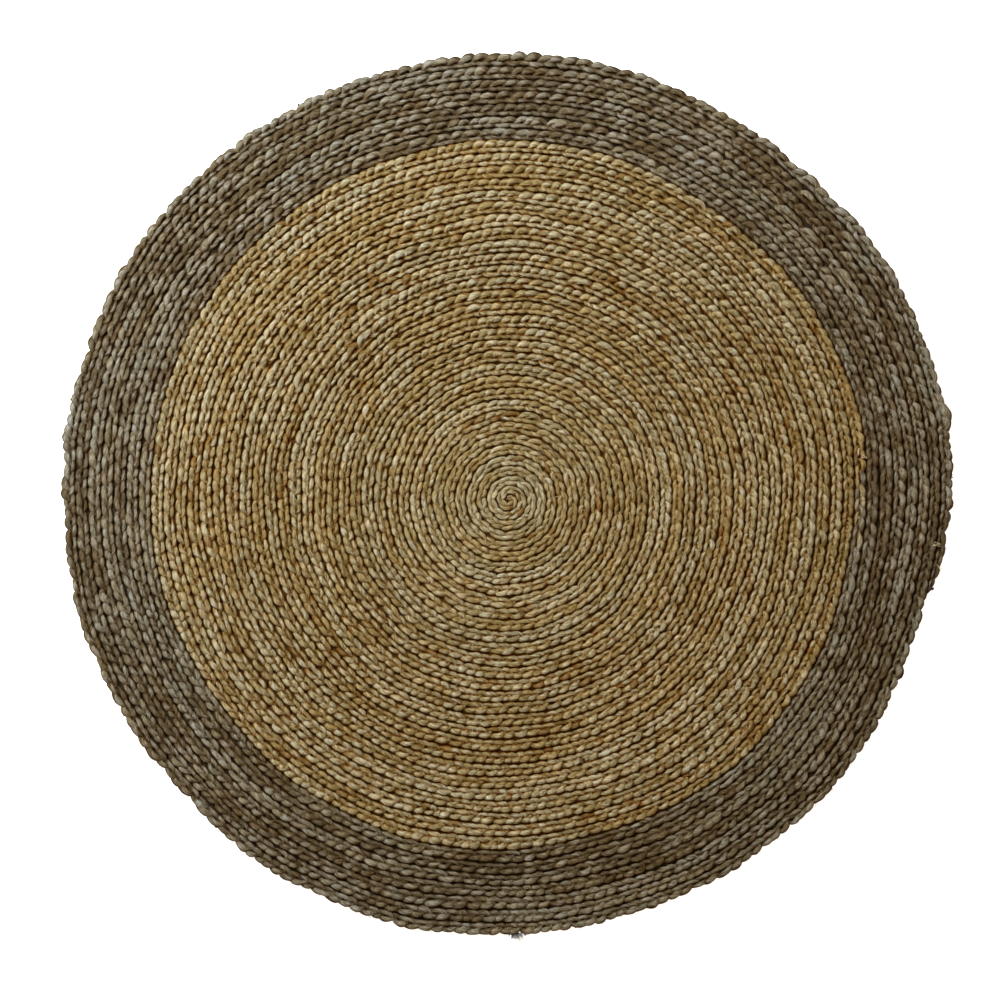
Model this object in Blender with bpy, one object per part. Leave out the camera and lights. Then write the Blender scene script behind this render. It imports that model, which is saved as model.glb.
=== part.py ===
"""Round jute rug.

Two lengths of hand-made three-strand jute plait lie flat in one spiral, and each turn is sewn to
the turn inside it: a natural length from the middle out, then a grey-dyed length for the border.
Seen from above the spiral runs outwards clockwise, from a tight start in the middle to a thin,
stitched-down tail at the lower right of the rim. Each turn stands up as a soft rib between two
sunken seams, and the underside is flat. Run in Blender 4.5: metres, +Z up, and the origin is
at the middle of the rug's box, on the floor.
"""

import math

import bmesh
import bpy

# Driving dimensions, in metres, degrees and turns of the spiral.
PLAIT_WIDTH = 0.02105  # from one turn to the next, sewn side to side
SLIM_START = 0.0381  # the plait starts slim, which draws in all the later turns by this much
SLIM_TURNS = 6  # the slimness fades over about this many turns
NATURAL_TURNS = 30 + 11 / 12
GREY_TURNS = 7 + 1 / 30
COLOUR_CHANGE_AT = 0.0  # direction of the butt joint between the two lengths
CREST_HEIGHT = 0.012  # the back of a turn
SEAM_HEIGHT = 0.0075  # the valley between two turns
START_HEIGHT = 0.009  # the first turn curls round a dimple
RIM_HEIGHT = 0.0055  # the widest point of the outermost turn's rounded side
RIM_TUCK = 0.003  # the rim's foot lies this far inside its widest point
PIECE_GAP = 0.0003  # between the two lengths

TAIL_LENGTH = 0.150  # the grey length narrows over this run, up to its end
TAIL_SHARE = 0.45  # of a full plait's width, at that end

SEGMENTS = 60  # in each turn
WELD = 0.00001

# Slow waves that pull the coil out of round: how many go round the rim, how high each stands at
# the rim, in metres, and the direction of its first crest, in degrees.
OUTLINE_WAVES = (
    (1, 0.0110, 145),
    (2, 0.0015, 345),
    (3, 0.0020, 17),
    (5, 0.0015, 18),
    (6, 0.0020, 14),
)
WAVE_GROWTH = 1.5  # they grow with this power of the distance from the middle

NATURAL_COLOUR = (0.30, 0.21, 0.10, 1)
GREY_COLOUR = (0.16, 0.13, 0.085, 1)
JUTE_ROUGHNESS = 0.85

ALL_TURNS = NATURAL_TURNS + GREY_TURNS


def even_radius(turn):
    """Distance from the spiral's middle to a turn's outer seam, if the coil were quite round."""
    return PLAIT_WIDTH * turn - SLIM_START * (1 - math.exp(-turn / SLIM_TURNS))


RIM_RADIUS = even_radius(ALL_TURNS)


def direction(turn):
    """Angle of a place on the spiral, in radians: it falls as the turns run out, clockwise."""
    return math.radians(COLOUR_CHANGE_AT) - 2 * math.pi * (turn - NATURAL_TURNS)


def seam_radius(turn):
    """Distance from the spiral's middle to the outer seam of the plait."""
    if turn <= 0:
        return 0
    even = even_radius(turn)
    waves = sum(
        height * math.cos(count * (direction(turn) - math.radians(crest)))
        for count, height, crest in OUTLINE_WAVES
    )
    return even + waves * (even / RIM_RADIUS) ** WAVE_GROWTH


def width_share(turn):
    """Share of its full width that the plait keeps: all of it, but less along the tail."""
    run_left = (ALL_TURNS - turn) * 2 * math.pi * RIM_RADIUS
    return TAIL_SHARE + (1 - TAIL_SHARE) * min(1, run_left / TAIL_LENGTH)


def plait_point(turn, across, first):
    """A point of the ribbed top of the length that starts at turn `first`.

    `across` is 0 on the inner seam, 1/2 on the crest and 1 on the outer seam. A length that
    starts outside another one keeps the gap from it, along its inner seam and at its start.
    """
    starts_outside = first > 0

    def seam(at):
        return seam_radius(at) + (PIECE_GAP if starts_outside and at <= first else 0)

    share = width_share(turn)
    radius = seam(turn - 1) + (seam(turn) - seam(turn - 1)) * share * across
    angle = direction(turn) - (PIECE_GAP / seam(first) if starts_outside else 0)
    if radius == 0:
        height = START_HEIGHT
    elif across == 0.5:
        height = SEAM_HEIGHT + (CREST_HEIGHT - SEAM_HEIGHT) * share
    elif across == 1 and turn > ALL_TURNS - 1:
        height = RIM_HEIGHT
    else:
        height = SEAM_HEIGHT
    return radius * math.cos(angle), radius * math.sin(angle), height


def coiled_plait(name, first, turns):
    """One length of plait: its ribbed top, a wall round its edges and a flat underside.

    The top is one long grid, three points across, wound so that the inner seam of each turn
    falls on the outer seam of the turn before it, and the two are welded.
    """
    bm = bmesh.new()
    columns = round(turns * SEGMENTS)
    bmesh.ops.create_grid(bm, x_segments=columns, y_segments=2, size=0.5)
    for vertex in bm.verts:
        column = round((vertex.co.x + 0.5) * columns)
        across = round((vertex.co.y + 0.5) * 2) / 2
        vertex.co = plait_point(first + column / SEGMENTS, across, first)
    bmesh.ops.remove_doubles(bm, verts=bm.verts, dist=WELD)

    edges = [edge for edge in bm.edges if edge.is_boundary]
    wall = bmesh.ops.extrude_edge_only(bm, edges=edges)["geom"]
    foot = [item for item in wall if isinstance(item, bmesh.types.BMEdge) and item.is_boundary]
    for vertex in {vertex for edge in foot for vertex in edge.verts}:
        vertex.co.z = 0
        radius = vertex.co.length
        if radius > (seam_radius(NATURAL_TURNS) + RIM_RADIUS) / 2:
            vertex.co *= 1 - RIM_TUCK / radius
    bmesh.ops.triangle_fill(bm, use_beauty=True, edges=foot, normal=(0, 0, -1))
    bmesh.ops.recalc_face_normals(bm, faces=bm.faces)

    mesh = bpy.data.meshes.new(name)
    bm.to_mesh(mesh)
    bm.free()
    mesh.shade_smooth()
    mesh.set_sharp_from_angle(angle=math.radians(50))
    return bpy.data.objects.new(name, mesh)


def jute(name, colour):
    """Dry, matt bast fibre."""
    material = bpy.data.materials.new(name)
    material.use_nodes = True
    shader = material.node_tree.nodes["Principled BSDF"]
    shader.inputs["Base Color"].default_value = colour
    shader.inputs["Roughness"].default_value = JUTE_ROUGHNESS
    shader.inputs["Metallic"].default_value = 0
    return material


def natural_coil():
    """The field: the natural length, wound from the middle."""
    coil = coiled_plait("natural_coil", 0, NATURAL_TURNS)
    coil.data.materials.append(jute("natural_jute", NATURAL_COLOUR))
    return coil


def grey_border():
    """The border: the grey-dyed length, from the butt joint to the tail."""
    coil = coiled_plait("grey_border", NATURAL_TURNS, GREY_TURNS)
    coil.data.materials.append(jute("grey_jute", GREY_COLOUR))
    return coil


def stand_on_origin(pieces):
    """Moves the points of all the pieces so that the middle of their common box is the origin."""
    points = [vertex.co for piece in pieces for vertex in piece.data.vertices]
    for axis in (0, 1):
        places = [point[axis] for point in points]
        middle = (min(places) + max(places)) / 2
        for point in points:
            point[axis] -= middle


def build():
    for old in list(bpy.data.objects):
        bpy.data.objects.remove(old, do_unlink=True)
    rug = bpy.data.collections.new("round_jute_rug")
    bpy.context.scene.collection.children.link(rug)
    pieces = [natural_coil(), grey_border()]
    stand_on_origin(pieces)
    for piece in pieces:
        rug.objects.link(piece)


build()
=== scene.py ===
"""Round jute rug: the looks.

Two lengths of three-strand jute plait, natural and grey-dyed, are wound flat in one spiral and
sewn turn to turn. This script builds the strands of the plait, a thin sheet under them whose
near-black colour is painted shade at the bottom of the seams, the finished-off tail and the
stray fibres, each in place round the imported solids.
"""

import math

import bpy
import numpy as np
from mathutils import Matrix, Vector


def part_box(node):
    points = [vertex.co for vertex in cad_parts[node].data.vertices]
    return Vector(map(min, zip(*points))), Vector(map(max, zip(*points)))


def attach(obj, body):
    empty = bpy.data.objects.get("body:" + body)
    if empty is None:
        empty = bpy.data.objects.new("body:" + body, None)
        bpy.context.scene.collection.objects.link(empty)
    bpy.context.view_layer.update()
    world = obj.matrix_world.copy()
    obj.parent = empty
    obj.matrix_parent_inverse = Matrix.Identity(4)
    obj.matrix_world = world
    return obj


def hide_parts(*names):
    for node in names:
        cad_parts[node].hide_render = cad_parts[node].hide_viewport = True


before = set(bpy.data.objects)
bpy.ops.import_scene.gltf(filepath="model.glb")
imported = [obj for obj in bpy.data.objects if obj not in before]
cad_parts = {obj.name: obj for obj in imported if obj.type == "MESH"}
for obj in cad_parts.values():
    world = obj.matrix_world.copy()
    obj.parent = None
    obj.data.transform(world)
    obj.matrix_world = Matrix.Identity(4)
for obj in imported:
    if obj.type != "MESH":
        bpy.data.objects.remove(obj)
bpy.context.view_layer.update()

# ------------------------------------------------------------------------------------------------
# The natural plait: three strands of undyed, golden-beige jute, wound clockwise from the middle and
# sewn turn to turn by hand. It starts slim and soon widens, and its turns drift a few millimetres
# in and out together. The grey plait carries the same spiral on, from the right-hand side.
PLAIT_WIDTH = 0.02105  # from one turn to the next
SLIM_START = 0.0381  # by this much the slim first turns draw in all the later ones
SLIM_TURNS = 6
NATURAL_TURNS = 30 + 11 / 12
ALL_TURNS = NATURAL_TURNS + 7 + 1 / 30
START_TURN = 0.45  # where the strands come up out of the first curl
TAIL_LENGTH = 0.150
TAIL_SHARE = 0.45  # of the full width, at the tail's end
SOLID_SEGMENTS = 60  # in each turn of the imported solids

OUTLINE_WAVES = (  # waves round the rim, height at the rim, direction of the first crest
    (1, 0.0110, 145),
    (2, 0.0015, 345),
    (3, 0.0020, 17),
    (5, 0.0015, 18),
    (6, 0.0020, 14),
)
WAVE_GROWTH = 1.5

DRIFT_WAVES = 22
DRIFT_COUNTS = (3, 19)  # from this many waves round the coil to one less than that
DRIFT_CREEP = 1.4  # radians, the most that a wave's phase moves on from turn to turn
DRIFT_HEIGHT = 0.0012
DRIFT_CALM_RADIUS = 0.22  # the turns drift less than half as far inside this radius
RIM_BUMPS = 10
RIM_BUMP_COUNTS = (22, 75)
RIM_BUMP_HEIGHT = 0.0009
RIM_BUMP_TURNS = 2.5  # the last turns, which little holds outside, bulge here and there


def direction(turn):
    """Angle of a place on the spiral, in radians: 0 at the change of colour, falling outwards."""
    return -2 * math.pi * (turn - NATURAL_TURNS)


def even_radius(turn):
    """Radius of a turn's outer seam in a perfectly round coil: width times turns, less a start's
    saving that comes in exponentially over the first turns."""
    turn = np.maximum(turn, 0)
    return PLAIT_WIDTH * turn - SLIM_START * (1 - np.exp(-turn / SLIM_TURNS))


RIM_RADIUS = even_radius(ALL_TURNS)


def solid_seam(turn):
    """Radius of a turn's outer seam in the solids: the round coil's, plus the outline's waves."""
    even = even_radius(turn)
    waves = sum(
        height * np.cos(count * (direction(turn) - math.radians(crest)))
        for count, height, crest in OUTLINE_WAVES
    )
    return even + waves * (even / RIM_RADIUS) ** WAVE_GROWTH


def seam(turn):
    """The solid seam plus the drift: a sum of waves that go round a whole number of times, so
    that neighbouring turns agree, the shorter ones lower, and whose phase creeps on from turn to
    turn. The rim's bumps are shorter waves still, which come in over the last turns."""
    random = np.random.default_rng(7)
    even = even_radius(turn)
    drift = 0
    for _ in range(DRIFT_WAVES):
        count = random.integers(*DRIFT_COUNTS)
        creep = random.uniform(-DRIFT_CREEP, DRIFT_CREEP)
        start = random.uniform(0, 2 * math.pi)
        height = DRIFT_HEIGHT * random.uniform(0.5, 1.0) * (6 / (3 + count)) ** 0.5
        drift = drift + height * np.cos(count * direction(turn) + creep * turn + start)
    bumps = 0
    for _ in range(RIM_BUMPS):
        count = random.integers(*RIM_BUMP_COUNTS)
        height = RIM_BUMP_HEIGHT * random.uniform(0.4, 1.0)
        bumps = bumps + height * np.cos(count * direction(turn) + random.uniform(0, 2 * math.pi))
    near_rim = np.clip(1 - (ALL_TURNS - turn) / RIM_BUMP_TURNS, 0, 1) ** 1.5
    return solid_seam(turn) + drift * even / (even + DRIFT_CALM_RADIUS) + bumps * near_rim


def width_share(turn):
    """1 along the plait, falling in a straight line to the tail's share at its end."""
    run_left = (ALL_TURNS - turn) * 2 * math.pi * RIM_RADIUS
    return TAIL_SHARE + (1 - TAIL_SHARE) * np.clip(run_left / TAIL_LENGTH, 0, 1)


def coil_middle():
    """Where the spiral starts: it puts the middle of the solid rim's box on that of the border."""
    turn = ALL_TURNS - np.arange(SOLID_SEGMENTS + 1) / SOLID_SEGMENTS
    inner = solid_seam(turn - 1)
    radius = inner + (solid_seam(turn) - inner) * width_share(turn)
    low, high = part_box("grey_border")
    rim = np.array([radius * np.cos(direction(turn)), radius * np.sin(direction(turn))])
    return (np.array(low[:2]) + np.array(high[:2])) / 2 - (rim.min(1) + rim.max(1)) / 2


MIDDLE = coil_middle()


def place(turn, out, height):
    """Points at a distance out from the spiral's middle, in the direction of the turn."""
    angle = direction(turn)
    return np.stack(
        [MIDDLE[0] + out * np.cos(angle), MIDDLE[1] + out * np.sin(angle), height + 0 * out], -1
    )


def noise_along(run, spacing, seed):
    """Smooth noise from -1 to 1 along a run: random values at even spacing, eased in between."""
    random = np.random.default_rng(seed)
    at = run / spacing
    values = random.uniform(-1, 1, int(at.max()) + 3)
    step = np.floor(at).astype(int)
    ease = at - step
    ease = ease * ease * (3 - 2 * ease)
    return values[step] * (1 - ease) + values[step + 1] * ease


# Its strands: each one crosses from edge to edge and passes over and under the others twice in
# each period. The plait is rolled a little, outer edge up, so that its outer lobes look plump and
# slanting and its inner ones long and thin, and most of all at the far side of the coil.
RING_STEP = 0.0043
STRAND_SIDES = 6
NATURAL_PERIOD = 0.0545
GREY_PERIOD = 0.0620
STRAND_SWING = 0.0062
EDGE_SHARE = 0.09  # third harmonic of the swing: it keeps a strand a little longer at the edges
STRAND_LEAN = 0.0006
STRAND_LIFT = 0.0019
LIFT_LAG = 0.34  # radians of phase by which the lift comes after the swing
STRAND_HALF_WIDTH = 0.0046
STRAND_HALF_HEIGHT = 0.0034
PLAIT_MID_HEIGHT = 0.0056
PLAIT_ROLL = 0.23  # radians
ROLL_SWING = 0.07
ROLL_TOWARDS = 75  # degrees
ROLL_SHIFT = 0.0065  # for each radian, how much the outer lobes gain on the inner ones
SPLIT_SHIFT = 1.35  # of that gain, how far the line between the two rows of lobes moves inwards
CALM_LESS_SEAM_SHADE = 0.30  # how much less painted shade the seams get in the middle of the coil
CALM_RADIUS = 0.30  # inside it the plait is sewn flatter, with slimmer and straighter strands
BUNDLE_SPACING = 0.011  # along each side of a strand its bundles of fibre swell and thin
BUNDLE_DEPTH = 0.24
END_ROUNDING = 0.008  # the strands' ends are rounded off over this length
UNDERSIDE = 0.0008  # the strands are pressed flat here, and only the sewing thread goes lower
TWIST_PITCH = 0.060  # the fibres turn once round their strand in this length
FIBRE_APART = 200  # metres: each strand reads its streaks from a stretch of its own
DYE_STEP = 60  # the grey comes in over this fraction of a turn: one sixtieth
GREY_PALER_SIDE = 0.5  # the grey is a little paler towards one side
GREY_PALER_TOWARDS = 105  # degrees


def even_steps(turn, out, step):
    """Distance along a spiral line, and the turn, at even steps, from the line's closely spaced
    turns and radii."""
    line = place(turn, out, 0)
    along = np.concatenate([[0], np.cumsum(np.linalg.norm(np.diff(line, axis=0), axis=1))])
    run = np.linspace(0, along[-1], int(along[-1] / step))
    return run, np.interp(run, along, turn)


def plait_middle(turn):
    """Radius of the plait's middle line: half its width out from its inner seam."""
    inner = seam(turn - 1)
    return inner + (seam(turn) - inner) * width_share(turn) / 2


FINE_TURNS = np.linspace(START_TURN, ALL_TURNS, 150_000)
RUN, TURN = even_steps(FINE_TURNS, plait_middle(FINE_TURNS), RING_STEP)


def skin(paths, half_width, half_height, sides, swell=1.0):
    """Rings of points round paths: half_width to the side and half_height up, at even angles, and
    each point as much further out as it swells.

    The side of a path is its own direction crossed with up. Paths are (..., rings, 3) and the
    result is (..., rings, sides, 3).
    """
    along = np.gradient(paths, axis=-2)
    along /= np.linalg.norm(along, axis=-1, keepdims=True)
    side = np.cross(along, [0, 0, 1])
    side /= np.linalg.norm(side, axis=-1, keepdims=True)
    up = np.cross(side, along)
    angle = (2 * math.pi * (np.arange(sides) + 0.5) / sides + math.pi / 2)[:, None]
    half_width, half_height = (np.asarray(h)[..., None, None] for h in (half_width, half_height))
    out = side[..., None, :] * half_width * np.cos(angle)
    out = out + up[..., None, :] * half_height * np.sin(angle)
    return paths[..., None, :] + out * np.asarray(swell)[..., None]


def closed_tubes(name, points):
    """A mesh of closed tubes from their rings, (tubes, rings, sides, 3): quads between
    neighbouring rings, and one face over each end."""
    tubes, rings, sides, _ = points.shape
    index = np.arange(tubes * rings * sides).reshape(tubes, rings, sides)
    after = np.roll(index, -1, axis=2)
    quads = np.stack([index[:, :-1], index[:, 1:], after[:, 1:], after[:, :-1]], -1).ravel()
    ends = np.stack([index[:, 0], index[:, -1, ::-1]], 1).ravel()
    corners = np.concatenate([quads, ends])
    sizes = np.concatenate([np.full(len(quads) // 4, 4), np.full(len(ends) // sides, sides)])
    mesh = bpy.data.meshes.new(name)
    mesh.vertices.add(index.size)
    mesh.vertices.foreach_set("co", points.astype(np.float32).ravel())
    mesh.loops.add(len(corners))
    mesh.loops.foreach_set("vertex_index", corners.astype(np.int32))
    mesh.polygons.add(len(sizes))
    mesh.polygons.foreach_set("loop_start", (np.cumsum(sizes) - sizes).astype(np.int32))
    mesh.update(calc_edges=True)
    mesh.shade_smooth()
    return mesh


def keep_on_points(mesh, name, values):
    """Stores one number, or one vector, for each point of the mesh, for its material to read."""
    vector = values.ndim > 1 and values.shape[-1] == 3
    kind = "FLOAT_VECTOR" if vector else "FLOAT"
    attribute = mesh.attributes.new(name, kind, "POINT")
    attribute.data.foreach_set("vector" if vector else "value", values.astype(np.float32).ravel())


def add_piece(name, mesh, material):
    """Links the mesh as an object at the origin that rides on the rug."""
    piece = bpy.data.objects.new(name, mesh)
    bpy.context.scene.collection.objects.link(piece)
    mesh.materials.append(material)
    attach(piece, "root")
    return piece


def strand(number):
    """One of the three strands over the whole run: its path, its half sizes, and the numbers that
    its material reads.

    Across, it goes as the sine of its phase. Up, it goes as the sine of twice its phase, so it is
    on top as it leaves the middle for either edge. Both are then turned by the plait's roll. Each
    uneven number is chance of its own, eased from one value to the next over a spacing in metres.
    """
    seeds = iter(range(100 * number, 100 * number + 50))

    def uneven(spacing):
        return noise_along(RUN, spacing, next(seeds))

    inner = seam(TURN - 1)
    width = (seam(TURN) - inner) * width_share(TURN)
    size = np.clip(width / PLAIT_WIDTH, 0.3, 1.25)
    loose = np.clip(inner / CALM_RADIUS, 0, 1)
    pace = np.where(TURN < NATURAL_TURNS, NATURAL_PERIOD, GREY_PERIOD) * size**0.25
    pace *= 1 + 0.14 * noise_along(RUN, 0.21, 1) + 0.18 * noise_along(RUN, 0.05, 2)
    phase = np.cumsum(2 * math.pi * np.gradient(RUN) / pace) + 2 * math.pi * number / 3
    phase += 0.55 * uneven(0.035)
    wave = np.sin(phase) + EDGE_SHARE * np.sin(3 * phase)
    lift = np.sin(2 * (phase - LIFT_LAG))
    roll = PLAIT_ROLL + ROLL_SWING * np.cos(direction(TURN) - math.radians(ROLL_TOWARDS))
    roll = (roll + 0.08 * noise_along(RUN, 0.4, 4)) * loose
    gain = ROLL_SHIFT * roll
    across = STRAND_SWING * wave * (0.97 + 0.03 * loose + 0.14 * uneven(0.045))
    across += gain * (wave**2 - SPLIT_SHIFT)
    across += 0.0009 * uneven(0.021) - STRAND_LEAN * np.sin(2 * phase)
    across *= size
    loft = 1 + 0.20 * noise_along(RUN, 0.13, 3) + 0.15 * uneven(0.04)
    rise = STRAND_LIFT * loft * lift * (0.75 + 0.25 * loose) + 0.0006 * uneven(0.02)
    middle = PLAIT_MID_HEIGHT * (0.55 + 0.45 * size) + across * np.sin(roll / 2)
    lump = np.clip(2.5 * uneven(0.035) - 1.6, 0, 1)
    half = size * (
        1.0 + 0.14 * uneven(0.031) + 0.12 * uneven(0.10) + 0.06 * uneven(0.45)
        + 0.22 * lump + 0.12 * lift + 0.7 * roll * wave
    )
    bundles = [uneven(BUNDLE_SPACING) for _ in range(STRAND_SIDES)]
    ends = np.clip(np.minimum(RUN, RUN[-1] - RUN) / END_ROUNDING, 0.05, 1) ** 0.5
    return {
        "path": place(TURN, inner + width / 2 + across, middle + rise),
        "middle": middle,
        "split": inner + width / 2 - SPLIT_SHIFT * gain * size,
        "half_width": STRAND_HALF_WIDTH * half * ends,
        "half_height": STRAND_HALF_HEIGHT * (0.35 + 0.65 * half) * ends,
        "bundles": 1 + BUNDLE_DEPTH * np.stack(bundles, -1),
        "calm": 1 - loose,
        # For the material: lighter or darker, rusty, dyed, worn pale, and warmer or cooler.
        "tone": 0.35 * uneven(0.020) + 0.4 * uneven(0.05) + 0.4 * uneven(0.14)
        + 0.5 * noise_along(RUN, 0.9, 6) + 0.9 * uneven(0.0062)
        + GREY_PALER_SIDE * (TURN > NATURAL_TURNS) * np.cos(direction(TURN) - math.radians(GREY_PALER_TOWARDS)),
        "rust": np.clip(uneven(0.045) * 2.4 - 0.75, 0, 1) * np.clip(0.45 + uneven(0.5), 0, 1),
        "dye": np.clip((TURN - NATURAL_TURNS) * DYE_STEP + 1.2 * (number - 1) + 0.5, 0, 1),
        "pale": 0.6 * uneven(0.028) + 0.6 * noise_along(RUN, 0.22, 8),
        "cast": 1.5 * uneven(0.05) + 0.8 * noise_along(RUN, 0.3, 9),
    }


STRANDS = [strand(number) for number in range(3)]


def plaited(name, first_turn, last_turn, material):
    """The three strands between two turns of the spiral, as one piece.

    Its points carry the strands' own numbers and three more. The crest is how far a point lies
    above or below the plait's middle. The row is a power of half a sine wave across each row of
    lobes, 1 on its back and 0 at its edges, with a little added in the middle of the coil, where
    the seams get less painted shade. The material paints shade and highlight by these two. The
    fibre is the place along and round the twisted strand.
    """
    first, last = np.searchsorted(TURN, [first_turn, last_turn])
    part = slice(first, last + 1)
    points = np.stack(
        [
            skin(one["path"], one["half_width"], one["half_height"], STRAND_SIDES, one["bundles"])
            for one in STRANDS
        ]
    )[:, part]
    points[..., 2] = np.maximum(points[..., 2], UNDERSIDE)
    mesh = closed_tubes(name, points)
    for key in ("tone", "rust", "dye", "pale", "cast"):
        values = np.stack([one[key][part] for one in STRANDS])
        keep_on_points(mesh, key, np.repeat(values, STRAND_SIDES, axis=1))
    middle = np.stack([one["middle"][part] for one in STRANDS])[..., None]
    crest = np.abs(points[..., 2] - middle) / (STRAND_LIFT + STRAND_HALF_HEIGHT)
    keep_on_points(mesh, "crest", crest)
    split = STRANDS[0]["split"][part, None]
    inner, outer = seam(TURN[part, None] - 1), seam(TURN[part, None])
    radius = np.linalg.norm(points[..., :2] - MIDDLE, axis=-1)
    share = np.where(
        radius > split, (radius - split) / (outer - split), (split - radius) / (split - inner)
    )
    row = np.sin(math.pi * np.clip(share, 0, 1)) ** 0.8 + CALM_LESS_SEAM_SHADE * STRANDS[0]["calm"][part, None]
    keep_on_points(mesh, "row", row)
    turned = 2 * math.pi * (
        np.arange(STRAND_SIDES) / STRAND_SIDES + RUN[part, None] / TWIST_PITCH
    )
    along = np.broadcast_to(RUN[part, None], turned.shape)
    aside, up = STRAND_HALF_WIDTH * np.cos(turned), STRAND_HALF_WIDTH * np.sin(turned)
    fibre = [np.stack([along + FIBRE_APART * n, aside, up], -1) for n in range(len(STRANDS))]
    keep_on_points(mesh, "fibre", np.stack(fibre))
    return add_piece(name, mesh, material)


class Socket:
    """An output in a material. Arithmetic on it adds the Math nodes that work it out."""

    def __init__(self, finish, socket):
        self.finish, self.socket = finish, socket

    def maths(self, operation, *values):
        return self.finish.add("ShaderNodeMath", {"operation": operation}, dict(enumerate(values)))

    def __add__(self, other):
        return self.maths("ADD", self, other)

    def __sub__(self, other):
        return self.maths("SUBTRACT", self, other)

    def __rsub__(self, other):
        return self.maths("SUBTRACT", other, self)

    def __mul__(self, other):
        return self.maths("MULTIPLY", self, other)

    def __pow__(self, other):
        return self.maths("POWER", self, other)

    __radd__, __rmul__ = __add__, __mul__

    def between(self, low, high):
        """0 below low, 1 above high, and an eased step from one to the other."""
        settings = {"interpolation_type": "SMOOTHSTEP"}
        return self.finish.add("ShaderNodeMapRange", settings, {0: self, 1: low, 2: high})


class Finish:
    """A material that is built node by node."""

    def __init__(self, name):
        self.material = bpy.data.materials.new(name)
        self.material.use_nodes = True
        self.tree = self.material.node_tree
        self.shader = self.tree.nodes["Principled BSDF"]

    def add(self, kind, settings=None, sockets=None, output=0):
        """Adds a node: its settings first, then the values or links of its sockets."""
        node = self.tree.nodes.new(kind)
        for key, value in (settings or {}).items():
            setattr(node, key, value)
        for key, value in (sockets or {}).items():
            self.put(node.inputs[key], value)
        return Socket(self, node.outputs[output])

    def put(self, slot, value):
        """Links what is worked out in the material, and sets what is a plain value."""
        if isinstance(value, Socket):
            self.tree.links.new(value.socket, slot)
        else:
            slot.default_value = value

    def on_points(self, name, vector=False):
        """A number or a vector that the mesh keeps on its points."""
        output = "Vector" if vector else "Fac"
        return self.add("ShaderNodeAttribute", {"attribute_name": name}, output=output)

    def where(self):
        """The place on the piece, in metres."""
        return self.add("ShaderNodeTexCoord", output="Object")

    def noise(self, at, scale, detail=2.0, roughness=0.5):
        """Cloudy chance from 0 to 1."""
        return self.add(
            "ShaderNodeTexNoise",
            {},
            {"Vector": at, "Scale": scale, "Detail": detail, "Roughness": roughness},
        )

    def times(self, vector, factors):
        """A place or a colour times three factors, one by one."""
        return self.add("ShaderNodeVectorMath", {"operation": "MULTIPLY"}, {0: vector, 1: factors})

    def mix(self, share, first, second):
        """A colour between two others."""
        settings = {"data_type": "RGBA"}
        return self.add("ShaderNodeMix", settings, {0: share, 6: first, 7: second}, output=2)

    def channels(self, red, green, blue):
        """Three numbers as one colour."""
        return self.add("ShaderNodeCombineXYZ", {}, {0: red, 1: green, 2: blue})

    def tint(self, bright, green, blue):
        """A brightness as a colour: itself in red, and to a power in green and in blue."""
        return self.channels(bright, bright**green, bright**blue)

    def surface(self, sockets):
        """Fills sockets of the shader with values or links, and gives the finished material."""
        for key, value in sockets.items():
            self.put(self.shader.inputs[key], value)
        return self.material


NATURAL_PALE = (0.280, 0.250, 0.161, 1)
NATURAL_GOLD = (0.226, 0.178, 0.085, 1)
# The rust brown is also painted into the shade and the low places, as painted shade.
NATURAL_RUST_AND_SHADE = (0.140, 0.071, 0.015, 1)
NATURAL_BROWN_MOST = 0.85
NATURAL_SHADE = 0.42  # what is left of the light at the bottom of the seams
NATURAL_WARMTH = (1.78, 2.9)  # powers of the shade in green and in blue
GREY_PALE = (0.175, 0.160, 0.119, 1)
GREY_WARM = (0.097, 0.075, 0.044, 1)
# The grey rust brown is also painted into the low places, as painted shade.
GREY_RUST_AND_SHADE = (0.080, 0.050, 0.028, 1)
GREY_BROWN_MOST = 0.7
GREY_SHADE = 0.36
GREY_WARMTH = (1.3, 1.7)
STREAK_WARMTH = (1.15, 1.6)
STREAK_SCALE = (85, 330, 330)  # along the strand, and both ways across it
HAIR_SCALE = (110, 1400, 1400)
PARTING_SCALE = (22, 210, 210)
PATCH_SCALE = 9
BROWN_STEP = (0.40, 1.35)
CAST_RED = 0.03
CAST_BLUE = 0.05
STREAK_RELIEF = 0.0025


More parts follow.
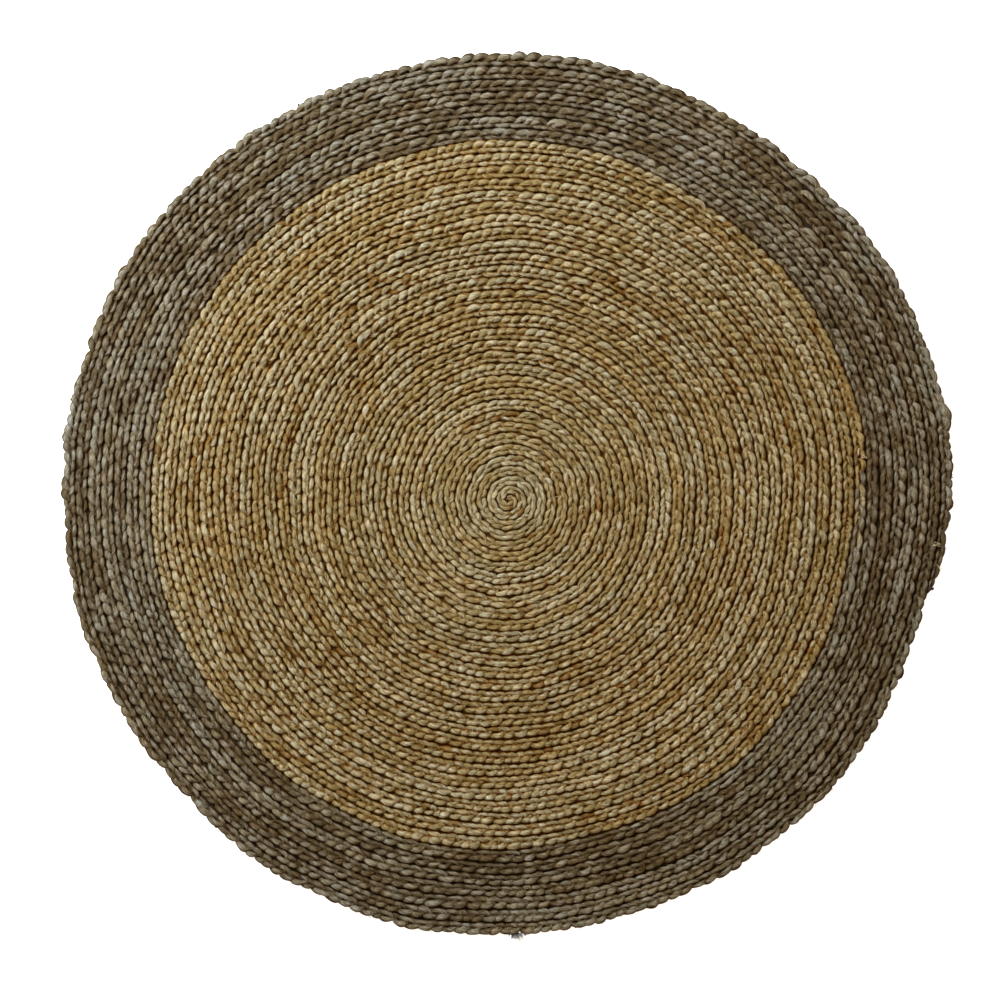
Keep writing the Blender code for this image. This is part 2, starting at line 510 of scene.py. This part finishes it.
def jute_strands(name):
    """Combed bast fibre: streaks and partings that wind round each strand, golden, and paler in
    places. The crests are paler still, as painted highlight. It has rusty stretches, and the rust's
    brown is also painted into the low places and the shade as painted shade. The dye attribute
    blends from undyed to grey, and the cast one makes it a little warmer or cooler. The seams, the
    low places and the darker streaks get painted shade, which loses its green and blue first, to a
    power of the shade each, so the gaps are a warm brown."""
    finish = Finish(name)
    fibre = finish.on_points("fibre", vector=True)
    tone, rust, pale, cast, dye, crest, row = (
        finish.on_points(key) for key in ("tone", "rust", "pale", "cast", "dye", "crest", "row")
    )
    streak = finish.noise(finish.times(fibre, STREAK_SCALE), 1, 3, 0.6) - 0.5
    hair = finish.noise(finish.times(fibre, HAIR_SCALE), 1, 2, 0.6) - 0.5
    parting = finish.noise(finish.times(fibre, PARTING_SCALE), 1, 1, 0.5) - 0.5
    patch = finish.noise(finish.where(), PATCH_SCALE, 3, 0.6)
    # Painted shade: darker low down, at the edges of each row of lobes, and in darker streaks.
    open_to_light = (0.46 * crest + 0.85 * row + 0.6 * streak).between(0.24, 1.12)
    # Painted highlight: paler on the crests. The pale attribute, the streaks and the patches add
    # paleness of the fibre's own.
    wear_and_painted_highlight = (crest + pale + 1.3 * streak - 2.0 * (patch - 0.5)).between(0.20, 1.20)
    # Rust where the rust attribute, the streaks and the patches put it, and more low down, as
    # painted shade.
    rust_and_low_shade = 1.25 * rust + 1.6 * streak + 1.1 * patch.between(0.55, 0.80) - 0.45 * crest + 0.15
    natural = finish.mix(wear_and_painted_highlight, NATURAL_GOLD, NATURAL_PALE)
    # More rust brown where the painted shade is deep: painted shade.
    rust_and_shade_share = (rust_and_low_shade + 0.8 * (1 - open_to_light)).between(*BROWN_STEP) * NATURAL_BROWN_MOST
    natural = finish.mix(rust_and_shade_share, natural, NATURAL_RUST_AND_SHADE)
    grey = finish.mix(wear_and_painted_highlight, GREY_WARM, GREY_PALE)
    grey = finish.mix(rust_and_low_shade.between(*BROWN_STEP) * GREY_BROWN_MOST, grey, GREY_RUST_AND_SHADE)
    colour = finish.mix(dye, natural, grey)
    colour = finish.times(colour, finish.channels(1 + CAST_RED * cast, 1.0, 1 - CAST_BLUE * cast))
    bundled = (parting * parting).between(0, 0.006)
    bright = (1 + 0.15 * tone + 1.3 * streak + 0.5 * hair) * (0.66 + 0.34 * bundled)
    colour = finish.times(colour, finish.tint(bright, *STREAK_WARMTH))
    shades = [
        finish.tint(deep + (1 - deep) * open_to_light, *warmth)
        for deep, warmth in ((NATURAL_SHADE, NATURAL_WARMTH), (GREY_SHADE, GREY_WARMTH))
    ]
    relief = {"Strength": 0.9, "Distance": STREAK_RELIEF, "Height": streak + 0.3 * hair}
    return finish.surface(
        {
            "Base Color": finish.times(colour, finish.mix(dye, *shades)),
            "Roughness": 0.9 - 0.2 * hair,
            "Normal": finish.add("ShaderNodeBump", {}, relief),
            "Specular IOR Level": 0.0,
        }
    )


# The natural length is cut into three pieces here only to keep each mesh small.
natural_jute = jute_strands("natural_jute_strands")
NATURAL_CUTS = (START_TURN, 17.0, 24.1, NATURAL_TURNS)
natural_plaits = [
    plaited(f"natural_plait_{n + 1}", NATURAL_CUTS[n], NATURAL_CUTS[n + 1], natural_jute)
    for n in range(3)
]
for piece in natural_plaits:
    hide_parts("natural_coil")

# ------------------------------------------------------------------------------------------------
# The grey plait: the same three strands of jute, dyed a brownish grey. It is butted to the end of
# the natural plait and sewn on round it, down to a thin tail at the lower right of the rim. It is
# cut in two here only to keep each mesh small.
grey_jute = jute_strands("grey_jute_strands")
GREY_CUTS = (NATURAL_TURNS, 33.2, ALL_TURNS)
grey_plaits = [
    plaited(f"grey_plait_{n + 1}", GREY_CUTS[n], GREY_CUTS[n + 1], grey_jute) for n in range(2)
]
for piece in grey_plaits:
    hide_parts("grey_border")

# ------------------------------------------------------------------------------------------------
# The ground: one thin sheet under the strands, as wide as the rug less half a strand. It shows only
# at the bottom of the seams, and its near-black colour is painted shade there.
FIELD_SHADE_GROUND = ((0.045, 0.017, 0.003, 1), (0.090, 0.040, 0.010, 1))  # its darkest, its palest
BORDER_SHADE_GROUND = ((0.016, 0.010, 0.006, 1), (0.038, 0.027, 0.015, 1))
GROUND_TOP = 0.0029
GROUND_BOTTOM = 0.0022
GROUND_RIPPLE = 0.0004
GROUND_INSET = 0.0055
GROUND_ROWS = 60
GROUND_COLUMNS = 240
SPECK_SCALE = 420


def ground_sheet():
    """A thin disc: its edge follows the last turn, its top ripples, and its rim is closed. With it
    goes the dye of each point, which starts at the inner seam of the grey plait's first turn."""
    turn = ALL_TURNS - np.arange(GROUND_COLUMNS) / GROUND_COLUMNS
    inner = seam(turn - 1)
    edge = inner + (seam(turn) - inner - GROUND_INSET) * width_share(turn)
    share = np.linspace(1, 0.002, GROUND_ROWS)
    out = share[:, None] * edge
    turns = np.broadcast_to(turn, out.shape)
    ripple = GROUND_RIPPLE * np.sin(out * 2 * math.pi / PLAIT_WIDTH)
    top = place(turns, out, GROUND_TOP + ripple * (share[:, None] < 1))
    bottom = place(turns, out, GROUND_BOTTOM)
    dye = (out > seam(turn - np.floor(turn - NATURAL_TURNS) - 1)).astype(float)
    # One closed tube: up the underside from the middle to the edge, and back over the top.
    return np.concatenate([bottom[::-1], top])[None], np.concatenate([dye[::-1], dye])


def painted_shade_ground(name):
    """Painted shade for the bottom of the seams: near-black, speckled, redder under the field than
    under the border.
    """
    finish = Finish(name)
    speck = finish.noise(finish.where(), SPECK_SCALE, 3, 0.6)
    field, border = (
        finish.mix(speck.between(0.35, 0.7), *pair) for pair in (FIELD_SHADE_GROUND, BORDER_SHADE_GROUND)
    )
    return finish.surface(
        {
            "Base Color": finish.mix(finish.on_points("dye"), field, border),
            "Roughness": 0.95 - 0.1 * speck,
            "Specular IOR Level": 0.0,
        }
    )


ground_points, ground_dye = ground_sheet()
ground_mesh = closed_tubes("seam_shade_sheet", ground_points)
keep_on_points(ground_mesh, "dye", ground_dye)
ground = add_piece("seam_shade_sheet", ground_mesh, painted_shade_ground("painted_shade_ground"))

# ------------------------------------------------------------------------------------------------
# The sewing thread: strong beige twine. It runs under each seam in a zigzag, through the edge of
# one turn and the edge of the next, and shows on the underside.
HALF_STITCH = 0.0065
STITCH_REACH = 0.0042
FULL_REACH_RADIUS = 0.04  # nearer the middle than this the stitches are shorter
TWINE_HALF = 0.0004
TWINE_HEIGHT = 0.00045
TWINE_BEIGE = (0.42, 0.34, 0.22, 1)
TWINE_SHADE = (0.16, 0.11, 0.06, 1)
TWIST_SCALE = 900


def zigzag():
    """A path that swaps sides of the seam at each half stitch, out to the reach."""
    fine = FINE_TURNS[FINE_TURNS < ALL_TURNS - 1]
    _, turn = even_steps(fine, seam(fine), HALF_STITCH)
    side = STITCH_REACH * (1 - 2 * (np.arange(len(turn)) % 2))
    reach = side * np.clip(seam(turn) / FULL_REACH_RADIUS, 0.2, 1)
    return place(turn, seam(turn) + reach, TWINE_HEIGHT)


def twine(name):
    """Waxed two-ply twine: beige, with a darker line at each twist."""
    finish = Finish(name)
    twist = finish.noise(finish.where(), TWIST_SCALE)
    return finish.surface(
        {
            "Base Color": finish.mix(twist.between(0.35, 0.6), TWINE_SHADE, TWINE_BEIGE),
            "Roughness": 0.8 - 0.2 * twist,
            "Specular IOR Level": 0.2,
        }
    )


beige_twine = twine("beige_twine")
thread_points = skin(zigzag()[None], TWINE_HALF, TWINE_HALF, 3)
thread_mesh = closed_tubes("sewing_thread", thread_points)
sewing_thread = add_piece("sewing_thread", thread_mesh, beige_twine)

# ------------------------------------------------------------------------------------------------
# Loose fibre: hairs and ends of jute that work out of the plait. Some lie over the strands, more
# stand out round the rim, and the curled ones make small knots, on the face and at the rim.
CELL = 0.002  # of the grid that holds the height of the strands
HAIR_RINGS = 7
LYING_HAIRS = 170
LYING_LENGTH = (0.007, 0.022)
LYING_HALF = (0.00025, 0.0005)
RIM_HAIRS = 620
RIM_HAIR_LENGTH = (0.003, 0.010)
RIM_HAIR_HALF = (0.00012, 0.00028)
RIM_HAIR_SPREAD = 0.9  # radians
RIM_HAIR_ROOT = 0.0035  # inside the rim's edge
RIM_HAIR_HEIGHT = 0.0055
RIM_HAIR_RISE = 0.003  # up or down, for most of a hair's length
RIM_HAIR_LOWEST = 0.0012
HAIR_TONE = (0.2, 0.9)
KNOT_RINGS = 24
LOWEST_FIBRE = 0.0003
SHINE_SCALE = 700
UNDYED_HAIR = ((0.13, 0.075, 0.032, 1), (0.36, 0.31, 0.20, 1))
DYED_HAIR = ((0.035, 0.026, 0.018, 1), (0.18, 0.16, 0.12, 1))


def strand_heights():
    """The highest point of the strands in each cell of a square grid, spread by one cell."""
    reach = int(1.1 * RIM_RADIUS / CELL)
    grid = np.zeros((2 * reach, 2 * reach))
    for one in STRANDS:
        points = skin(one["path"], one["half_width"], one["half_height"], STRAND_SIDES)
        at = ((points[..., :2] - MIDDLE) / CELL + reach).astype(int)
        np.maximum.at(grid, (at[..., 0], at[..., 1]), points[..., 2])
    for axis in (0, 1):
        grid = np.maximum.reduce([np.roll(grid, step, axis) for step in (-1, 0, 1)])
    return grid, reach


HEIGHTS, HEIGHT_REACH = strand_heights()


def draped(flat, sink=0.0):
    """Flat paths laid over the strands: at each ring the height of the strands below it, or the
    mean of that and its two neighbours' where that is higher, less what the path sinks in."""
    at = ((flat - MIDDLE) / CELL + HEIGHT_REACH).astype(int)
    height = HEIGHTS[at[..., 0], at[..., 1]]
    longer = np.concatenate([height[..., :1], height, height[..., -1:]], -1)
    height = np.maximum(height, (height + longer[..., 2:] + longer[..., :-2]) / 3) - sink
    return np.concatenate([flat, height[..., None]], -1)


def bent_paths(start, heading, length, bend, rings):
    """Flat paths: a straight run along the heading, bent aside by the square of the distance."""
    share = np.linspace(0, 1, rings)[None, :, None]
    along = np.stack([np.cos(heading), np.sin(heading)], -1)[:, None]
    aside = np.stack([-np.sin(heading), np.cos(heading)], -1)[:, None]
    length, bend = length[:, None, None], bend[:, None, None]
    return start[:, None] + length * share * along + bend * length * share**2 * aside


def rim_turn(angle):
    """The place on the outermost turn that lies in a direction, in radians."""
    base = NATURAL_TURNS - angle / (2 * math.pi)
    return base + np.floor(ALL_TURNS - base)


def rim_point(angle, outside):
    """Points as far outside the rim's edge as asked, in a direction."""
    turn = rim_turn(angle)
    inner = seam(turn - 1)
    edge = inner + (seam(turn) - inner) * width_share(turn)
    return place(turn, edge + outside, 0)[..., :2]


def lying_hairs(random):
    """Hairs spread evenly over the rug, most of them near the direction of the rows."""
    out = 0.97 * RIM_RADIUS * random.uniform(0, 1, LYING_HAIRS) ** 0.5
    angle = random.uniform(0, 2 * math.pi, LYING_HAIRS)
    start = MIDDLE + np.stack([out * np.cos(angle), out * np.sin(angle)], -1)
    heading = angle + math.pi / 2 + random.normal(0, 0.6, LYING_HAIRS)
    length = random.uniform(*LYING_LENGTH, LYING_HAIRS)
    bend = random.uniform(-0.35, 0.35, LYING_HAIRS)
    return draped(bent_paths(start, heading, length, bend, HAIR_RINGS))


def rim_hairs(random, angle, length, spread):
    """Hairs that start under the rim's outer lobes and stand out, a little up or down."""
    count = len(angle)
    start = rim_point(angle, -RIM_HAIR_ROOT)
    heading = angle + random.normal(0, spread, count)
    flat = bent_paths(start, heading, length, random.uniform(-0.6, 0.6, count), HAIR_RINGS)
    rise = random.uniform(-RIM_HAIR_RISE, RIM_HAIR_RISE, count)[:, None]
    height = RIM_HAIR_HEIGHT + rise * (0.25 + 1.5 * np.linspace(0, 1, HAIR_RINGS))
    return np.concatenate([flat, np.maximum(height, RIM_HAIR_LOWEST)[..., None]], -1)


def curls(random, centre, size, flatness):
    """Knotted curls of fibre: a circle's path with two faster circles added to it."""
    count = len(centre)
    at = np.linspace(0, 2 * math.pi, KNOT_RINGS) * random.uniform(0.8, 1.2, count)[:, None]
    start = random.uniform(0, 2 * math.pi, (3, count, 1))
    curl = np.stack(
        [
            np.cos(at + start[0]) + 0.6 * np.cos(3.3 * at + start[1]),
            np.sin(at + start[0]) + 0.6 * np.sin(2.6 * at + start[2]),
            flatness * np.sin(3.9 * at + start[1]),
        ],
        -1,
    )
    return centre[:, None] + size[:, None, None] * curl


def fibre_tubes(name, paths, half, tone, dye, material, sides=3):
    """Tubes that taper to both ends, with the numbers their material reads."""
    rings = paths.shape[-2]
    taper = np.clip(4 * np.sin(math.pi * np.linspace(0.03, 0.97, rings)), 0.1, 1)
    points = skin(paths, half[:, None] * taper, half[:, None] * taper, sides)
    points[..., 2] = np.maximum(points[..., 2], LOWEST_FIBRE)
    mesh = closed_tubes(name, points)
    keep_on_points(mesh, "tone", np.repeat(tone, rings * sides))
    keep_on_points(mesh, "dye", np.repeat(dye, rings * sides))
    return add_piece(name, mesh, material)


def single_fibre(name, undyed, dyed):
    """Bast fibre on its own: from the first to the second colour of a pair by its tone, and from
    the undyed pair to the dyed one by its dye."""
    finish = Finish(name)
    shine = finish.noise(finish.where(), SHINE_SCALE)
    share = finish.on_points("tone") + 0.3 * shine
    pairs = [finish.mix(share, *pair) for pair in (undyed, dyed)]
    return finish.surface(
        {
            "Base Color": finish.mix(finish.on_points("dye"), *pairs),
            "Roughness": 0.8 - 0.2 * shine,
            "Specular IOR Level": 0.1,
        }
    )


def border_share(paths):
    """1 for a path that starts on the grey border, 0 for one that starts on the field."""
    out = np.linalg.norm(paths[:, 0, :2] - MIDDLE, axis=-1)
    return (out > even_radius(NATURAL_TURNS)).astype(float)


bast_fibre = single_fibre("bast_fibre", UNDYED_HAIR, DYED_HAIR)
chance = np.random.default_rng(21)
lying_paths = lying_hairs(chance)
surface_hairs = fibre_tubes(
    "surface_hairs",
    lying_paths,
    chance.uniform(*LYING_HALF, LYING_HAIRS),
    chance.uniform(*HAIR_TONE, LYING_HAIRS),
    border_share(lying_paths),
    bast_fibre,
)
edge_hairs = fibre_tubes(
    "edge_hairs",
    rim_hairs(
        chance,
        chance.uniform(0, 2 * math.pi, RIM_HAIRS),
        chance.uniform(*RIM_HAIR_LENGTH, RIM_HAIRS),
        RIM_HAIR_SPREAD,
    ),
    chance.uniform(*RIM_HAIR_HALF, RIM_HAIRS),
    chance.uniform(*HAIR_TONE, RIM_HAIRS),
    np.ones(RIM_HAIRS),
    bast_fibre,
)

# One tuft of grey lint is caught in the rim, at its lower side.
TUFT_AT = -89  # degrees
TUFT_HAIRS = 90
TUFT_WIDTH = 0.0065  # along the rim: most hairs start nearer than this to its middle
TUFT_SPREAD = 0.6  # radians
TUFT_LENGTH = (0.004, 0.015)
TUFT_HALF = (0.0002, 0.0005)
TUFT_TONE = (0.0, 0.8)
LINT = ((0.05, 0.05, 0.05, 1), (0.13, 0.135, 0.135, 1))
edge_tuft = fibre_tubes(
    "edge_tuft",
    rim_hairs(
        chance,
        math.radians(TUFT_AT) + chance.normal(0, TUFT_WIDTH / RIM_RADIUS, TUFT_HAIRS),
        chance.uniform(*TUFT_LENGTH, TUFT_HAIRS),
        TUFT_SPREAD,
    ),
    chance.uniform(*TUFT_HALF, TUFT_HAIRS),
    chance.uniform(*TUFT_TONE, TUFT_HAIRS),
    np.ones(TUFT_HAIRS),
    single_fibre("grey_lint", LINT, LINT),
)

# Knots of curled fibre: dark specks of bark that sit between the strands, knots at the rim, and
# the knot that ends the tail.
FACE_KNOTS = (  # degrees, distance from the spiral's middle, size
    (5.0, 0.683, 0.0026), (-68.2, 0.449, 0.0019), (-74.0, 0.457, 0.0018), (-43.4, 0.530, 0.0019),
    (-35.2, 0.426, 0.0020), (-80.0, 0.330, 0.0016), (99.0, 0.320, 0.0016), (140.0, 0.500, 0.0016),
    (200.0, 0.580, 0.0017), (250.0, 0.390, 0.0015), (320.0, 0.560, 0.0016), (60.0, 0.480, 0.0015),
)
RIM_KNOTS = (118, 56, 31, 3, 167, 171, 228, 305)  # degrees, round the rim
RIM_KNOT_SIZE = 0.0014
RIM_KNOT_INSIDE = 0.0020
RIM_KNOT_HEIGHT = 0.0062
TAIL_KNOT = (-11.7, 0.7300, 0.0027)  # as those on the face
STRAY_KNOTS = 40  # more on the face, wherever chance puts them
STRAY_KNOT_SIZE = (0.0008, 0.0014)
KNOT_SINK = 0.0018  # of their middles, below the tops of the strands
KNOT_TONE = (-0.4, 0.2)
BARK_FIELD = ((0.030, 0.012, 0.004, 1), (0.16, 0.08, 0.03, 1))
BARK_BORDER = (DYED_HAIR[0], (0.08, 0.06, 0.04, 1))


def bark_knots(random):
    """The centres and sizes of all the knots: on the face, at the rim, and at the tail's end."""
    angle, out, size = np.transpose(FACE_KNOTS)
    angle = np.concatenate([np.radians(angle), random.uniform(0, 2 * math.pi, STRAY_KNOTS)])
    out = np.concatenate([out, 0.98 * RIM_RADIUS * random.uniform(0.05, 1, STRAY_KNOTS) ** 0.5])
    face = MIDDLE + out[:, None] * np.stack([np.cos(angle), np.sin(angle)], -1)
    rim = rim_point(np.radians(RIM_KNOTS), -RIM_KNOT_INSIDE)
    tail_angle, tail_out, tail_size = TAIL_KNOT
    tail_angle = math.radians(tail_angle)
    tail = MIDDLE + tail_out * np.array([[math.cos(tail_angle), math.sin(tail_angle)]])
    edge = np.insert(np.concatenate([rim, tail]), 2, RIM_KNOT_HEIGHT, axis=1)
    centre = np.concatenate([draped(face[:, None], KNOT_SINK)[:, 0], edge])
    stray = random.uniform(*STRAY_KNOT_SIZE, STRAY_KNOTS)
    return centre, np.concatenate([size, stray, np.full(len(rim), RIM_KNOT_SIZE), [tail_size]])


knot_centre, knot_size = bark_knots(chance)
knots = fibre_tubes(
    "knots",
    curls(chance, knot_centre, knot_size, 0.6),
    0.8 * knot_size,
    chance.uniform(*KNOT_TONE, len(knot_size)),
    border_share(knot_centre[:, None]),
    single_fibre("dark_bark", BARK_FIELD, BARK_BORDER),
    sides=5,
)

# Loose ends: where the two lengths are joined, a few short ends cross the seam, and near the tail
# the last stitches show as pale threads that pass over the outer strand.
END_RINGS = 9
END_HEIGHT = 0.0055  # of an end where it stands out over the floor
LOOSE_ENDS = (  # direction, distance out, heading, length, half thickness, tone
    (7.4, 0.603, -35, 0.011, 0.0016, 0.55),
    (6.4, 0.605, -60, 0.010, 0.0013, 0.05),
    (6.9, 0.600, 15, 0.010, 0.0011, 0.70),
    (8.6, 0.600, -110, 0.013, 0.0017, 0.60),
    (-5.6, 0.724, -14, 0.011, 0.0010, 1.00),
    (-5.9, 0.722, -28, 0.013, 0.0008, 1.10),
    (-6.1, 0.721, 6, 0.014, 0.0009, 0.80),
    (-8.5, 0.733, -48, 0.013, 0.0006, 1.50),
    (-8.8, 0.738, -30, 0.007, 0.0004, 1.50),
)


def loose_paths(random):
    """Short bent paths over the strands, or at one height where they pass beyond the rim."""
    angle, out, heading, length = np.transpose(LOOSE_ENDS)[:4]
    angle = np.radians(angle)
    start = MIDDLE + out[:, None] * np.stack([np.cos(angle), np.sin(angle)], -1)
    bend = random.uniform(-0.3, 0.3, len(angle))
    paths = draped(bent_paths(start, np.radians(heading), length, bend, END_RINGS))
    paths[..., 2] = np.maximum(paths[..., 2], END_HEIGHT)
    return paths


end_half, end_tone = np.transpose(LOOSE_ENDS)[4:]
undyed = np.zeros(len(LOOSE_ENDS))
loose_ends = fibre_tubes(
    "loose_ends", loose_paths(chance), end_half, end_tone, undyed, bast_fibre, sides=5
)

# ------------------------------------------------------------------------------------------------
# The line of the rim: the solids' outer seam round the last turn, on the floor.
RIM_POINTS = 720
rim_turns = ALL_TURNS - np.arange(RIM_POINTS) / RIM_POINTS
rim_line = place(rim_turns, solid_seam(rim_turns), 0)

# ------------------------------------------------------------------------------------------------
# The studio: a white floor that glows a little, and a white wall far off round it. A hazy sun and a
# soft lamp stand at the upper left, both cool, and a warm sky fills the shade. The camera looks
# straight down on the rug.
FLOOR_SIZE = 80.0
FLOOR_COLOUR = (0.88, 0.88, 0.87, 1)
FLOOR_GLOW = 0.85
WALL_RADIUS = 39.0
WALL_HEIGHT = 12.0
WALL_SIDES = 64
WHITE = (1, 1, 1, 1)
BLACK = (0, 0, 0, 1)
LAMP_COLOUR = (0.865, 0.94, 1.0)
SUN_FROM = (-3.0, 3.0, 3.0)
SUN_STRENGTH = 1.62
SUN_WIDTH = 20  # degrees
SOFT_LAMP_AT = (-1.7, 1.7, 1.9)
SOFT_LAMP_WATTS = 161
SOFT_LAMP_SIZE = 1.2
SKY_COLOUR = (1.0, 0.70, 0.43, 1)
SKY_STRENGTH = 0.62
PHOTO_METRES = 1.699  # width of the photographed field, at the rug
PHOTO_CENTRE = (-0.0158, 0.0010)  # of the field, from the spiral's middle
CAMERA_HEIGHT = 4.2


def staged(name, points, faces, material):
    """Links a mesh that only sets the scene."""
    mesh = bpy.data.meshes.new(name)
    mesh.from_pydata(points, [], faces)
    mesh.materials.append(material)
    piece = bpy.data.objects.new(name, mesh)
    bpy.context.scene.collection.objects.link(piece)
    return piece


def studio_floor():
    """One square under the rug."""
    half = FLOOR_SIZE / 2
    corners = [(-half, -half, 0), (half, -half, 0), (half, half, 0), (-half, half, 0)]
    pale = Finish("studio_floor").surface(
        {
            "Base Color": FLOOR_COLOUR,
            "Roughness": 0.9,
            "Emission Color": WHITE,
            "Emission Strength": FLOOR_GLOW,
        }
    )
    staged("studio_floor", corners, [(0, 1, 2, 3)], pale)


def studio_wall():
    """Upright quads on a circle, behind the rug in low views. They give and stop no light."""
    white = Finish("studio_wall").surface(
        {"Base Color": BLACK, "Emission Color": WHITE, "Emission Strength": 1.0}
    )
    angle = 2 * math.pi * np.arange(WALL_SIDES) / WALL_SIDES
    ring = WALL_RADIUS * np.stack([np.cos(angle), np.sin(angle)], -1)
    points = np.concatenate([np.insert(ring, 2, height, axis=1) for height in (0, WALL_HEIGHT)])
    low = np.arange(WALL_SIDES)
    after = np.roll(low, -1)
    quads = np.stack([low, low + WALL_SIDES, after + WALL_SIDES, after], -1)
    wall = staged("studio_wall", points.tolist(), quads.tolist(), white)
    wall.visible_diffuse = wall.visible_glossy = wall.visible_shadow = False


def studio_light(name, kind, energy, stand, **sizes):
    """A cool lamp that faces the middle of the rug."""
    light = bpy.data.lights.new(name, kind)
    light.energy = energy
    light.color = LAMP_COLOUR
    for key, value in sizes.items():
        setattr(light, key, value)
    lamp = bpy.data.objects.new(name, light)
    bpy.context.scene.collection.objects.link(lamp)
    lamp.location = stand
    lamp.rotation_mode = "QUATERNION"
    lamp.rotation_quaternion = (-lamp.location).to_track_quat("-Z", "Y")


studio_floor()
studio_wall()
studio_light("key", "SUN", SUN_STRENGTH, SUN_FROM, angle=math.radians(SUN_WIDTH))
studio_light("soft", "AREA", SOFT_LAMP_WATTS, SOFT_LAMP_AT, size=SOFT_LAMP_SIZE)

world = bpy.data.worlds.new("studio_air")
world.use_nodes = True
sky = world.node_tree.nodes["Background"]
sky.inputs["Color"].default_value = SKY_COLOUR
sky.inputs["Strength"].default_value = SKY_STRENGTH
bpy.context.scene.world = world
bpy.context.scene.view_settings.view_transform = "Standard"

lens = bpy.data.cameras.new("camera")
lens.sensor_width = 36
lens.lens = lens.sensor_width * CAMERA_HEIGHT / PHOTO_METRES
camera = bpy.data.objects.new("camera", lens)
bpy.context.scene.collection.objects.link(camera)
camera.location = (*(MIDDLE + PHOTO_CENTRE), CAMERA_HEIGHT)
bpy.context.scene.camera = camera
